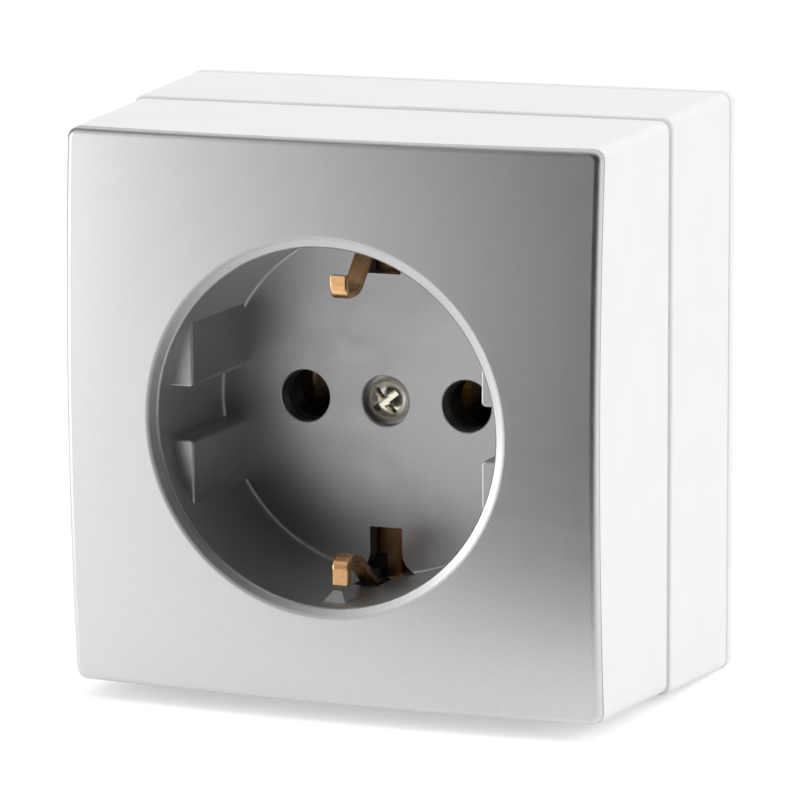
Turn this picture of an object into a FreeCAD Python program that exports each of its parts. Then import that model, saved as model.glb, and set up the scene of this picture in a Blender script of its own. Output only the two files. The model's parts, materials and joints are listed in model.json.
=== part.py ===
import FreeCAD
import Part
import math
import os
import Sketcher
from types import SimpleNamespace

# Surface-mounted type F wall socket, in millimetres.
# +X is to the right seen from the front, +Y goes into the wall, +Z is up.
# The origin is under the middle of the unit, at the height of its bottom face.
# Inside a sub-part, Y is the depth behind the apex of the domed front plate and
# Z is the height over the middle of the plate. A screw has its own origin under its head.

DRIVING_SIZES = (
    ("plate_width", 61.0, "width and height of the plate"),
    ("total_depth", 41.2, "apex of the plate to the wall"),
    ("draft", 0.046, "widening of frame and box, on each side for every millimetre of depth"),
    ("box_step", 0.27, "box proud of the frame"),
    ("corner_radius", 1.2, "outer corners of plate, frame and box"),
    ("dome_radius", 345.0, "sphere of the front face"),
    ("plate_edge", 1.1, "thickness of the plate"),
    ("edge_round", 0.75, "round along the plate's outer edge"),
    ("edge_break", 0.25, "outer edges of frame, box and base plate"),
    ("joint_gap", 0.2, "plate to frame"),
    ("skirt_wall", 1.3, "locating skirt behind the plate"),
    ("skirt_depth", 7.0, "apex to the end of the skirt"),
    ("skirt_clearance", 0.2, "skirt to frame"),
    ("well_drop", 0.3, "well axis below the middle of the plate"),
    ("well_radius", 19.4, "plug well"),
    ("well_wall", 1.8, "wall of the plug well"),
    ("well_depth", 17.8, "mouth of the well to its floor"),
    ("mouth_width", 1.05, "bevel round the mouth of the well, across"),
    ("mouth_bevel_depth", 0.53, "bevel round the mouth of the well, in depth"),
    ("mouth_outer_round", 0.9, "edge between the bevel and the dome"),
    ("mouth_inner_round", 0.35, "edge between the bevel and the well"),
    ("floor_thickness", 2.2, "floor of the well"),
    ("floor_round", 0.4, "corner between the well's wall and its floor"),
    ("rib_chord", 16.65, "well axis to the faces of the guide ribs"),
    ("rib_gap", 5.8, "between the two ribs of a side"),
    ("rib_setback", 3.65, "mouth of the well to the ribs"),
    ("rib_round", 0.5, "edges of the ribs"),
    ("rib_front_round", 0.25, "front edges of the ribs"),
    ("pin_spacing", 19.0, "between the pin axes"),
    ("pin_hole_radius", 2.88, "pin holes in the floor"),
    ("hole_chamfer", 0.12, "front edge of the floor's round holes"),
    ("recess_radius", 2.8, "recess of the centre screw"),
    ("recess_depth", 1.3, "recess of the centre screw"),
    ("slot_width", 3.8, "earth clip slots in the floor"),
    ("slot_inner", 14.1, "well axis to the inner end of a slot"),
    ("slot_neck", 16.9, "well axis to where a slot flares"),
    ("slot_flare", 7.2, "width of a slot at the wall of the well"),
    ("notch_width", 3.0, "cut in the well's wall for a clip"),
    ("notch_front", 12.2, "apex to the front of that cut"),
    ("guard_width", 2.6, "ramp in front of the lower clip's free end"),
    ("guard_front", 3.6, "apex to the front of the ramp"),
    ("guard_length", 3.0, "ramp, along the well"),
    ("guard_height", 1.1, "ramp, over the wall of the well"),
    ("guard_top", 1.0, "width of the ramp's crest"),
    ("web_thickness", 1.2, "webs between well and skirt"),
    ("web_depth", 5.0, "apex to the back of the webs"),
    ("seam_depth", 22.3, "apex to the middle of the seam"),
    ("seam_gap", 0.4, "shadow gap of the seam"),
    ("seam_inset", 1.0, "depth of the shadow gaps"),
    ("box_wall", 2.4, "walls of frame and box"),
    ("box_back", 1.7, "back wall of the box"),
    ("spigot_wall", 1.1, "spigot of the frame in the box"),
    ("spigot_length", 2.0, "spigot, beyond the seam"),
    ("spigot_clearance", 0.12, "spigot to box"),
    ("base_thickness", 1.4, "base plate"),
    ("base_gap", 0.25, "shadow gap between box and base plate"),
    ("fixing_spacing", 40.0, "between the wall screws"),
    ("fixing_slot_width", 4.4, "slots for the wall screws"),
    ("fixing_slot_length", 8.0, "slots for the wall screws"),
    ("cable_radius", 7.0, "cable entry in the back"),
    ("knockout_width", 14.0, "thinned panel of a cable knock-out"),
    ("knockout_length", 10.0, "thinned panel, front to back"),
    ("knockout_cut", 1.4, "depth taken off the wall at a knock-out"),
    ("post_radius", 3.2, "posts of the box"),
    ("base_screw_reach", 24.0, "axis to the screws of the base plate"),
    ("base_post_height", 8.0, "posts for the base plate screws"),
    ("block_width", 40.0, "contact block, front part"),
    ("block_height", 39.0, "contact block, front part"),
    ("block_clearance", 0.3, "floor of the well to the block"),
    ("block_front_length", 4.1, "contact block, front part"),
    ("block_step", 2.0, "shoulder of the block, that sits on the bracket"),
    ("block_rear_length", 9.0, "contact block, rear part"),
    ("block_round", 2.0, "corners of the block"),
    ("entry_radius", 2.7, "way of a pin through block, contact and cap"),
    ("entry_length", 3.0, "pin entries of the block"),
    ("chamber_width", 7.6, "contact chambers"),
    ("chamber_height", 8.0, "contact chambers"),
    ("cap_thickness", 2.0, "contact cap"),
    ("wire_radius", 1.7, "wire entries"),
    ("bracket_lip", 1.5, "support bracket, above and below the block"),
    ("bracket_head_room", 0.6, "side of the block to the heads of the bracket's screws"),
    ("bracket_margin", 0.3, "those heads to the ends of the bracket"),
    ("bracket_thickness", 1.2, "support bracket"),
    ("bracket_clearance", 0.2, "bracket to the rear part of the block"),
    ("bow_thickness", 0.8, "earth bow"),
    ("bow_width", 7.0, "base of the earth bow"),
    ("bow_base_reach", 17.6, "well axis to the end of the wide base"),
    ("bow_reach", 20.9, "well axis to the roots of the clips"),
    ("clip_width", 2.0, "earth clips"),
    ("upper_clip_reach", 13.15, "well axis to the crest of the upper clip"),
    ("lower_clip_reach", 14.35, "well axis to the crest of the lower clip"),
    ("clip_front", 5.2, "apex to the front of the clips"),
    ("clip_crest", 3.5, "straight crest of a clip"),
    ("upper_clip_leg", 2.65, "free leg of the upper clip"),
    ("lower_clip_leg", 3.5, "free leg of the lower clip"),
    ("upper_clip_fall", 0.1, "fall of the upper clip along its crest"),
    ("lower_clip_fall", 0.95, "fall of the lower clip along its crest"),
    ("clip_shoulder", 13.5, "apex to the shoulder of a clip"),
    ("clip_rise", 4.3, "crest to shoulder of a clip"),
    ("clip_bend", 1.1, "bends of the clips"),
    ("clip_edge", 0.22, "rounded edges of the clips"),
    ("earth_tab_width", 4.4, "earth tab"),
    ("tab_width", 4.0, "tabs of the contacts"),
    ("contact_thickness", 0.7, "sprung contacts"),
    ("contact_width", 7.0, "sprung contacts"),
    ("pinch_radius", 2.3, "half the waist of a sprung contact"),
    ("contact_play", 0.25, "contact to the chamber"),
    ("clamp_width", 7.0, "terminal cages"),
    ("clamp_height", 7.0, "terminal cages"),
    ("clamp_length", 5.4, "terminal cages"),
    ("clamp_cover", 1.7, "cages to the top or bottom of the block's rear part"),
    ("clamp_window_width", 5.0, "wire window of the cages"),
    ("clamp_window_height", 4.2, "wire window of the cages"),
    ("clamp_play", 0.3, "cage to its pocket"),
    ("thread_radius", 1.5, "terminal screws"),
    ("thread_clearance", 0.06, "screws to their threads"),
    ("nut_radius", 3.5, "brass nut of the centre screw"),
    ("nut_length", 5.0, "brass nut of the centre screw"),
    ("centre_shank_radius", 1.6, "centre screw"),
    ("centre_head_radius", 2.45, "centre screw"),
    ("centre_head_height", 1.5, "centre screw"),
    ("centre_length", 9.5, "centre screw under its head"),
    ("small_shank_radius", 1.25, "bracket, cap and base screws"),
    ("small_head_radius", 2.3, "bracket, cap and base screws"),
    ("small_head_height", 1.0, "bracket, cap and base screws"),
    ("small_length", 7.0, "bracket, cap and base screws"),
    ("hole_clearance", 0.2, "screws to their through holes"),
    ("drive_width", 0.75, "cross recess of the screws"),
    ("drive_angle", 40.0, "turn of the centre screw's cross, in degrees"),
)


class Size:
    """A number together with the sheet expression that it comes from."""

    def __init__(self, value, text):
        self.value = value
        self.text = text

    def __add__(self, other):
        other = as_size(other)
        return Size(self.value + other.value, f"({self.text} + {other.text})")

    def __sub__(self, other):
        other = as_size(other)
        return Size(self.value - other.value, f"({self.text} - {other.text})")

    def __mul__(self, other):
        other = as_size(other)
        return Size(self.value * other.value, f"({self.text} * {other.text})")

    def __truediv__(self, other):
        other = as_size(other)
        return Size(self.value / other.value, f"({self.text} / {other.text})")

    def __neg__(self):
        return Size(-self.value, f"(0 - {self.text})")


def as_size(number):
    if isinstance(number, Size):
        return number
    return Size(float(number), repr(float(number)))


def root(size):
    return Size(math.sqrt(size.value), f"sqrt({size.text})")


def smaller(first, second):
    """The smaller of two sizes, as a fillet limited by its wall."""
    first, second = as_size(first), as_size(second)
    return Size(min(first.value, second.value), f"min({first.text}; {second.text})")


def fill_sheet(document):
    """Write the driving sizes into the sheet and return them by name."""
    sheet = document.addObject("Spreadsheet::Sheet", "Sizes")
    sizes = {}
    for row, (alias, value, meaning) in enumerate(DRIVING_SIZES, start=1):
        sheet.set(f"A{row}", meaning)
        sheet.set(f"B{row}", str(value))
        sheet.setAlias(f"B{row}", alias)
        sizes[alias] = Size(value, f"Sizes.{alias}")
    document.recompute()
    return SimpleNamespace(**sizes)


doc = FreeCAD.newDocument("type_f_socket")
s = fill_sheet(doc)

# Levels and outlines that several pieces share.

half_width = s.plate_width / 2
half_diagonal = half_width * math.sqrt(2)
well_z = -s.well_drop
half_pin_spacing = s.pin_spacing / 2
plate_back_radius = s.dome_radius - s.plate_edge
frame_front_radius = plate_back_radius - s.joint_gap
seam_front = s.seam_depth - s.seam_gap / 2
seam_back = s.seam_depth + s.seam_gap / 2
base_front = s.total_depth - s.base_thickness
box_end = base_front - s.base_gap
box_floor = box_end - s.box_back


def dome_depth(radius):
    """Depth of the front face at a distance from the dome's axis."""
    return s.dome_radius - root(s.dome_radius * s.dome_radius - radius * radius)


def side_reach(depth):
    """Middle of the unit to a side of the frame, at a depth."""
    return half_width + s.draft * (as_size(depth) - dome_depth(half_diagonal))


rest_height = side_reach(s.total_depth) + s.box_step
seam_reach = side_reach(s.seam_depth)
mouth_depth = dome_depth(s.well_radius)
bevel_radius = s.well_radius + s.mouth_width
bevel_front = dome_depth(bevel_radius)
bevel_slope = root(s.mouth_width * s.mouth_width + s.mouth_bevel_depth * s.mouth_bevel_depth)
crest_radius = bevel_radius + s.mouth_outer_round * (bevel_slope - s.mouth_width) / s.mouth_bevel_depth
floor_front = mouth_depth + s.well_depth
floor_back = floor_front + s.floor_thickness
spigot_reach = seam_reach - s.box_wall + s.spigot_wall
crest_depth = dome_depth(crest_radius - s.well_drop)
origin_depth = (crest_depth + s.total_depth) / 2
recess_floor = floor_front + s.recess_depth
rib_front = mouth_depth + s.rib_setback
block_front = floor_back + s.block_clearance
bow_back = block_front + s.bow_thickness
block_shoulder = block_front + s.block_front_length
block_back = block_shoulder + s.block_rear_length
bracket_back = block_shoulder + s.bracket_thickness
chamber_front = block_front + s.entry_length
cap_back = block_back + s.cap_thickness
clamp_front = bracket_back + s.clamp_play
clamp_back = clamp_front + s.clamp_length
clamp_axis = clamp_front + s.clamp_length / 2
block_rear_width = s.block_width - s.block_step * 2
block_rear_height = s.block_height - s.block_step * 2
clamp_high = block_rear_height / 2 - s.clamp_cover
clamp_reach = clamp_high - s.clamp_height / 2
clamp_low = clamp_high - s.clamp_height
window_low = clamp_reach - s.clamp_window_height / 2
earth_tab_reach = window_low + s.bow_thickness / 2
contact_back = clamp_back + s.clamp_play + s.contact_thickness * 2
shank_hole_radius = s.centre_shank_radius + s.hole_clearance
small_hole_radius = s.small_shank_radius + s.hole_clearance
pilot_radius = s.small_shank_radius + s.thread_clearance
cap_screw_x = (half_pin_spacing + s.chamber_width / 2 + block_rear_width / 2) / 2
bracket_screw_reach = s.block_width / 2 + s.bracket_head_room + s.small_head_radius
bracket_width = (bracket_screw_reach + s.small_head_radius + s.bracket_margin) * 2
bracket_height = s.block_height + s.bracket_lip * 2

OVERCUT = 1.0
TOLERANCE = 1e-3

# How far an edge of the mouth may be from its nominal circle, as the bevel meets a dome off its axis.
MOUTH_PLAY = 0.06

# An end arc of a slot is a hair flatter than a half turn, so that its centre is well defined.
END_ARC = 1.0001

# The largest part of a wall that a round may take: along one of its edges, and along both.
ROUND_SHARE = 0.8
PAIR_SHARE = 0.33

# A screw's head: height of its rim, reach and depth of its cross, as parts of the head's sizes.
HEAD_RIM = 0.35
DRIVE_REACH = 0.68
DRIVE_DEPTH = 0.85

# The part of the guard's height that its front slope takes.
GUARD_SLOPE = 0.8

# A sprung contact: where along its length it is narrowest and wide again, and its bends in thicknesses.
PINCH_PLACE = 0.25
WIDE_PLACE = 0.7
SPRING_BEND = 4


def bind(item, name, size):
    """Tie a property or constraint to the sheet."""
    item.setExpression(name, as_size(size).text)


def new_body(label):
    """A body in the unit's own depths and heights, moved to the unit's origin."""
    body = doc.addObject("PartDesign::Body", label)
    body.Label = label
    bind(body, "Placement.Base.y", -origin_depth)
    bind(body, "Placement.Base.z", rest_height)
    return body


def new_sketch(body, role, name, offset=0, lift=0):
    """A sketch on an origin plane, moved out along it by offset and up by lift."""
    sketch = body.newObject("Sketcher::SketchObject", name)
    plane = next(item for item in body.Origin.OriginFeatures if item.Role == role)
    sketch.AttachmentSupport = [(plane, "")]
    sketch.MapMode = "FlatFace"
    bind(sketch, "AttachmentOffset.Base.z", offset)
    bind(sketch, "AttachmentOffset.Base.y", lift)
    return sketch


def face_sketch(body, name, depth, lift=0):
    """A sketch that faces the front, at a depth behind the apex."""
    return new_sketch(body, "XZ_Plane", name, -as_size(depth), lift)


def pin_point(sketch, geometry, position, x, y):
    """Fix a point of a sketch at two sizes from the sketch's origin."""
    for kind, size in (("DistanceX", x), ("DistanceY", y)):
        size = as_size(size)
        number = sketch.addConstraint(Sketcher.Constraint(kind, -1, 1, geometry, position, size.value))
        bind(sketch, f"Constraints[{number}]", size)


def fix_radius(sketch, geometry, radius):
    radius = as_size(radius)
    number = sketch.addConstraint(Sketcher.Constraint("Radius", geometry, radius.value))
    bind(sketch, f"Constraints[{number}]", radius)


def arc_between(start, end, radius):
    """An arc from start to end: its centre is on the left for a positive radius."""
    chord = end - start
    middle = (start + end) / 2
    left = FreeCAD.Vector(-chord.y, chord.x, 0) / chord.Length
    height = math.sqrt(radius * radius - chord.Length ** 2 / 4)
    centre = middle + left * math.copysign(height, radius)
    first, last = (start, end) if radius > 0 else (end, start)
    circle = Part.Circle(centre, FreeCAD.Vector(0, 0, 1), abs(radius))
    angles = [math.atan2(point.y - centre.y, point.x - centre.x) for point in (first, last)]
    if angles[1] < angles[0]:
        angles[1] += 2 * math.pi
    return Part.ArcOfCircle(circle, angles[0], angles[1])


def draw_outline(sketch, corners, arcs=None):
    """A closed outline of straight sides, with arcs of given radius instead of some."""
    arcs = arcs or {}
    corners = [(as_size(x), as_size(y)) for x, y in corners]
    points = [FreeCAD.Vector(x.value, y.value, 0) for x, y in corners]
    count = len(points)
    ends = []
    for index, point in enumerate(points):
        following = points[(index + 1) % count]
        if index in arcs:
            curve = arc_between(point, following, as_size(arcs[index]).value)
            ends.append((1, 2) if as_size(arcs[index]).value > 0 else (2, 1))
        else:
            curve = Part.LineSegment(point, following)
            ends.append((1, 2))
        number = sketch.addGeometry(curve, False)
        if index == 0:
            base = number
    for index in range(count):
        after = (index + 1) % count
        sketch.addConstraint(Sketcher.Constraint(
            "Coincident", base + index, ends[index][1], base + after, ends[after][0]))
    for index, (x, y) in enumerate(corners):
        pin_point(sketch, base + index, ends[index][0], x, y)
    for index, radius in arcs.items():
        radius = as_size(radius)
        fix_radius(sketch, base + index, radius if radius.value > 0 else -radius)
    return sketch


def draw_box(sketch, left, right, low, high):
    return draw_outline(sketch, ((left, low), (right, low), (right, high), (left, high)))


def draw_circle(sketch, x, y, radius):
    x, y, radius = as_size(x), as_size(y), as_size(radius)
    centre = FreeCAD.Vector(x.value, y.value, 0)
    number = sketch.addGeometry(Part.Circle(centre, FreeCAD.Vector(0, 0, 1), radius.value), False)
    pin_point(sketch, number, 3, x, y)
    fix_radius(sketch, number, radius)
    return sketch


def draw_rounded_box(sketch, width, height, radius):
    """A rectangle about the sketch's origin with round corners."""
    x, y, r = width / 2, height / 2, radius
    corners = (
        (x - r, -y), (x, r - y), (x, y - r), (x - r, y),
        (r - x, y), (-x, y - r), (-x, r - y), (r - x, -y),
    )
    return draw_outline(sketch, corners, {0: r, 2: r, 4: r, 6: r})


def settle(body, feature, grows):
    """Recompute a feature and see that it added or took away material."""
    before = feature.BaseFeature.Shape.Volume if feature.BaseFeature else 0.0
    doc.recompute()
    change = feature.Shape.Volume - before
    if (change > 0) != grows or abs(change) < TOLERANCE:
        raise RuntimeError(f"{body.Label}.{feature.Name} changed the volume by {change:.4f}")
    return feature


def pad(body, sketch, length, name, towards_front=False):
    feature = body.newObject("PartDesign::Pad", name)
    feature.Profile = sketch
    feature.Reversed = not towards_front
    bind(feature, "Length", length)
    return settle(body, feature, True)


def pocket(body, sketch, length, name, towards_front=False):
    feature = body.newObject("PartDesign::Pocket", name)
    feature.Profile = sketch
    feature.Reversed = towards_front
    bind(feature, "Length", length)
    return settle(body, feature, False)


def revolve(body, sketch, name, kind="PartDesign::Revolution"):
    """Turn a half section about the sketch's horizontal axis, or cut it out."""
    feature = body.newObject(kind, name)
    feature.Profile = sketch
    feature.ReferenceAxis = (sketch, ["H_Axis"])
    feature.Angle = 360
    return settle(body, feature, kind == "PartDesign::Revolution")


def dress(body, kind, wanted, size, name):
    """Fillet or chamfer the edges for which wanted(edge) is true."""
    base = body.Tip
    edges = [f"Edge{number}" for number, edge in enumerate(base.Shape.Edges, start=1) if wanted(edge)]
    feature = body.newObject(f"PartDesign::{kind}", name)
    feature.Base = (base, edges)
    bind(feature, "Radius" if kind == "Fillet" else "Size", size)
    doc.recompute()
    return feature


def is_circle(edge, depth, radius):
    """A full circle about a front-to-back axis, at a depth and with a radius."""
    return (
        isinstance(edge.Curve, Part.Circle)
        and abs(edge.Curve.Radius - as_size(radius).value) < TOLERANCE
        and abs(edge.BoundBox.YMin - as_size(depth).value) < TOLERANCE
        and abs(edge.BoundBox.YMax - as_size(depth).value) < TOLERANCE
    )


def runs_along_depth(edge, x, z):
    """A straight edge along Y through a place of the front view."""
    box = edge.BoundBox
    return (
        box.XLength < TOLERANCE and box.ZLength < TOLERANCE
        and abs(abs(box.XMin) - x) < TOLERANCE and abs(abs(box.ZMin - well_z.value) - z) < TOLERANCE
    )


def round_perimeter(body, places, name):
    """Break the outer edges of a piece at some places, each a depth and its outline's reach."""

    def wanted(edge):
        box = edge.BoundBox
        return box.YLength < TOLERANCE and any(
            abs(box.YMin - depth.value) < TOLERANCE and edge_on_outline(edge, reach.value)
            for depth, reach in places)

    return dress(body, "Fillet", wanted, smaller(s.edge_break, s.base_thickness * PAIR_SHARE), name)


def edge_on_outline(edge, reach):
    """True where the middle of an edge lies on a square outline with the outer corners."""
    middle = edge.valueAt((edge.FirstParameter + edge.LastParameter) / 2)
    corner = s.corner_radius.value
    over_x = abs(middle.x) - (reach - corner)
    over_z = abs(middle.z) - (reach - corner)
    distance = math.hypot(max(over_x, 0), max(over_z, 0))
    return abs(distance - corner) < TOLERANCE


def draw_square(sketch, reach, corner):
    return draw_rounded_box(sketch, reach * 2, reach * 2, corner)


def square_ring(body, name, start, length, reach, wall):
    """A straight square tube about the middle of the unit."""
    sketch = face_sketch(body, f"{name}_outline", start)
    for size in (reach, reach - wall):
        draw_square(sketch, size, s.corner_radius / 2)
    return pad(body, sketch, length, name)


def drafted_square(body, name, kind, start, end, step, corner):
    """A square block, or a hollow, whose sides follow the draft of the unit."""
    sections = []
    for place, depth in (("front", start), ("back", end)):
        sketch = face_sketch(body, f"{name}_{place}_outline", depth)
        sections.append(draw_square(sketch, side_reach(depth) + step, corner))
    feature = body.newObject(f"PartDesign::{kind}", name)
    feature.Profile = sections[0]
    feature.Sections = [sections[1]]
    feature.Ruled = True
    return settle(body, feature, kind == "AdditiveLoft")


def drafted_walls(body, start, end, step):
    """Outer walls between two depths, with the draft inside and outside."""
    drafted_square(body, "walls", "AdditiveLoft", start, end, step, s.corner_radius)
    drafted_square(
        body, "hollow", "SubtractiveLoft", start - OVERCUT, end + OVERCUT, step - s.box_wall,
        s.corner_radius / 2)


def trim_to_sphere(body, radius, name):
    """Cut away what lies in front of a sphere that shares the dome's centre."""
    reach = half_diagonal + 2 * OVERCUT
    apex = s.dome_radius - radius
    edge = s.dome_radius - root(radius * radius - reach * reach)
    sketch = new_sketch(body, "YZ_Plane", f"{name}_profile")
    front = as_size(-2 * OVERCUT)
    draw_outline(sketch, ((front, 0), (apex, 0), (edge, reach), (front, reach)), {1: -radius})
    return revolve(body, sketch, name, "PartDesign::Groove")


def build_cover_plate():
    """Domed plate, locating skirt and plug well, moulded in one."""
    body = new_body("cover_plate")

    reach = half_diagonal + OVERCUT
    front_edge = dome_depth(reach)
    back_edge = s.dome_radius - root(plate_back_radius * plate_back_radius - reach * reach)
    lens = new_sketch(body, "YZ_Plane", "lens_profile")
    draw_outline(
        lens, ((0, 0), (s.plate_edge, 0), (back_edge, reach), (front_edge, reach)),
        {1: -plate_back_radius, 3: s.dome_radius})
    revolve(body, lens, "lens")

    trim = face_sketch(body, "plate_outline", -OVERCUT)
    draw_circle(trim, 0, 0, reach + OVERCUT)
    draw_square(trim, half_width, s.corner_radius)
    pocket(body, trim, s.skirt_depth, "plate_trim")

    skirt_reach = half_width - s.box_wall - s.skirt_clearance
    square_ring(body, "skirt", 0, s.skirt_depth, skirt_reach, s.skirt_wall)

    web_start = s.well_radius + s.well_wall / 2
    web_end = (skirt_reach - s.skirt_wall / 2) * math.sqrt(2)
    for number, angle in enumerate((45, 135, 225, 315)):
        web = face_sketch(body, f"web_outline_{number}", 0, well_z)
        turn = math.radians(angle)
        along = FreeCAD.Vector(math.cos(turn), math.sin(turn), 0)
        half = s.web_thickness / 2
        corners = []
        for distance, side in ((web_start, -1), (web_end, -1), (web_end, 1), (web_start, 1)):
            corners.append((
                distance * along.x - half * (side * along.y),
                distance * along.y + half * (side * along.x)))
        draw_outline(web, corners)
        pad(body, web, s.web_depth, f"web_{number}")

    tube = face_sketch(body, "well_outline", 0, well_z)
    draw_circle(tube, 0, 0, s.well_radius + s.well_wall)
    pad(body, tube, floor_back, "well_tube")

    trim_to_sphere(body, s.dome_radius, "dome_trim")

    well = face_sketch(body, "well_bore", 0, well_z)
    draw_circle(well, 0, 0, s.well_radius)
    pocket(body, well, floor_front, "well")
    dress(
        body, "Fillet", lambda edge: is_circle(edge, floor_front, s.well_radius), s.floor_round,
        "floor_round")

    bevel = new_sketch(body, "YZ_Plane", "mouth_profile", 0, well_z)
    run = bevel_front + OVERCUT
    rise = s.mouth_width / s.mouth_bevel_depth
    draw_outline(bevel, (
        (-OVERCUT, 0), (bevel_front + s.mouth_bevel_depth, 0),
        (bevel_front + s.mouth_bevel_depth, s.well_radius), (-OVERCUT, bevel_radius + run * rise)))
    revolve(body, bevel, "mouth_bevel", "PartDesign::Groove")

    add_guide_ribs(body)
    cut_floor(body)
    add_clip_guard(body)
    round_cover_edges(body)
    return body


def add_guide_ribs(body):
    """Two ribs on each side of the well, with a gap between them."""
    half_gap = s.rib_gap / 2
    inside_wall = s.well_radius + s.well_wall / 2
    rib_end = root(s.well_radius * s.well_radius - s.rib_chord * s.rib_chord)
    ribs = face_sketch(body, "rib_outlines", rib_front, well_z)
    for side in (-1, 1):
        for level in (-1, 1):
            corners = [
                (s.rib_chord, half_gap),
                (root(inside_wall * inside_wall - half_gap * half_gap), half_gap),
                (s.rib_chord * inside_wall / s.well_radius, rib_end * inside_wall / s.well_radius),
                (s.rib_chord, rib_end),
            ]
            if side * level < 0:
                corners.reverse()
            draw_outline(ribs, [(x * side, z * level) for x, z in corners])
    pad(body, ribs, floor_front - rib_front + s.floor_thickness / 2, "ribs")


def cut_floor(body):
    """Pin holes, screw recess, clip slots and the notches behind them."""
    pins = face_sketch(body, "pin_holes_outline", floor_front, well_z)
    draw_circle(pins, -half_pin_spacing, 0, s.pin_hole_radius)
    draw_circle(pins, half_pin_spacing, 0, s.pin_hole_radius)
    pocket(body, pins, s.floor_thickness, "pin_holes")

    recess = face_sketch(body, "recess_outline", floor_front, well_z)
    draw_circle(recess, 0, 0, s.recess_radius)
    pocket(body, recess, s.recess_depth, "recess")
    shank = face_sketch(body, "shank_outline", recess_floor, well_z)
    draw_circle(shank, 0, 0, shank_hole_radius)
    pocket(body, shank, floor_back - recess_floor, "shank_hole")

    half_slot = s.slot_width / 2
    half_flare = s.slot_flare / 2
    flare_end = root(s.well_radius * s.well_radius - half_flare * half_flare)
    flare_width = half_flare - half_slot
    flare_length = flare_end - s.slot_neck
    flare_arc = (flare_width * flare_width + flare_length * flare_length) / (flare_width * 2)
    half_notch = s.notch_width / 2
    notch_end = s.well_radius + s.well_wall + OVERCUT
    for level, place in ((1, "upper"), (-1, "lower")):
        slot = face_sketch(body, f"{place}_slot_outline", floor_front - s.floor_round, well_z)
        corners = [
            (half_slot, s.slot_inner), (half_slot, s.slot_neck), (half_flare, flare_end),
            (-half_flare, flare_end), (-half_slot, s.slot_neck), (-half_slot, s.slot_inner),
        ]
        draw_outline(
            slot, [(x, z * level) for x, z in corners],
            {1: -flare_arc * level, 2: s.well_radius * level, 3: -flare_arc * level})
        pocket(body, slot, s.floor_round + s.floor_thickness, f"{place}_slot")
        notch = face_sketch(body, f"{place}_notch_outline", s.notch_front, well_z)
        inner = s.slot_inner + s.slot_width / 2
        levels = sorted((inner * level, notch_end * level), key=lambda size: size.value)
        draw_box(notch, -half_notch, half_notch, levels[0], levels[1])
        pocket(body, notch, floor_back - s.notch_front, f"{place}_notch")


def add_clip_guard(body):
    """A small bell-shaped bump on the well's wall in front of the free end of the lower clip."""
    inside_wall = s.well_radius + s.well_wall / 2
    half_foot, half_top = s.guard_width / 2, s.guard_top / 2
    crest = s.well_radius - s.guard_height
    sketch = face_sketch(body, "guard_outline", s.guard_front, well_z)
    draw_outline(sketch, (
        (-half_foot, -inside_wall), (half_foot, -inside_wall), (half_foot, -s.well_radius),
        (half_top, -crest), (-half_top, -crest), (-half_foot, -s.well_radius)))
    pad(body, sketch, s.guard_length, "guard")

    def on_front_crest(edge):
        box = edge.BoundBox
        level = (well_z - crest).value
        return abs(box.YMax - s.guard_front.value) < TOLERANCE and abs(box.ZMin - level) < TOLERANCE

    dress(body, "Chamfer", on_front_crest, s.guard_height * GUARD_SLOPE, "guard_slope")


def round_cover_edges(body):
    """Round the plate's edge, the bevel at the well's mouth and the ribs, and break the holes' edges."""
    centre = FreeCAD.Vector(0, s.dome_radius.value, 0)

    def on_outer_edge(edge):
        if any(
                abs((vertex.Point - centre).Length - s.dome_radius.value) > TOLERANCE
                for vertex in edge.Vertexes):
            return False
        middle = edge.valueAt((edge.FirstParameter + edge.LastParameter) / 2)
        reach = max(abs(middle.x), abs(middle.z))
        return reach > half_width.value - s.corner_radius.value

    def at_mouth(edge, radius):
        middle = (edge.FirstParameter + edge.LastParameter) / 2
        points = [edge.valueAt(place) for place in (edge.FirstParameter, middle)]
        around = [math.hypot(point.x, point.z - well_z.value) for point in points]
        in_front = max(point.y for point in points) < rib_front.value / 2
        return in_front and all(abs(reach - radius.value) < MOUTH_PLAY for reach in around)

    def on_rib_front(edge):
        middle = edge.valueAt((edge.FirstParameter + edge.LastParameter) / 2)
        inside = s.well_radius.value - math.hypot(middle.x, middle.z - well_z.value)
        depths = (edge.BoundBox.YMin - rib_front.value, edge.BoundBox.YMax - rib_front.value)
        return inside > TOLERANCE and all(abs(depth) < TOLERANCE for depth in depths)

    edge_round = smaller(s.edge_round, s.plate_edge * ROUND_SHARE)
    dress(body, "Fillet", on_outer_edge, edge_round, "edge_round")
    mouth_rounds = (
        ("outer", bevel_radius, s.mouth_outer_round), ("inner", s.well_radius, s.mouth_inner_round),
    )
    for place, radius, size in mouth_rounds:
        dress(body, "Fillet", lambda edge: at_mouth(edge, radius), size, f"mouth_{place}_round")
    dress(
        body, "Fillet", lambda edge: runs_along_depth(edge, s.rib_chord.value, s.rib_gap.value / 2),
        s.rib_round, "rib_round")
    dress(body, "Fillet", on_rib_front, s.rib_front_round, "rib_front_round")
    dress(
        body, "Chamfer",
        lambda edge: is_circle(edge, floor_front, s.pin_hole_radius)
        or is_circle(edge, floor_front, s.recess_radius),
        s.hole_chamfer, "hole_chamfer")


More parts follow.
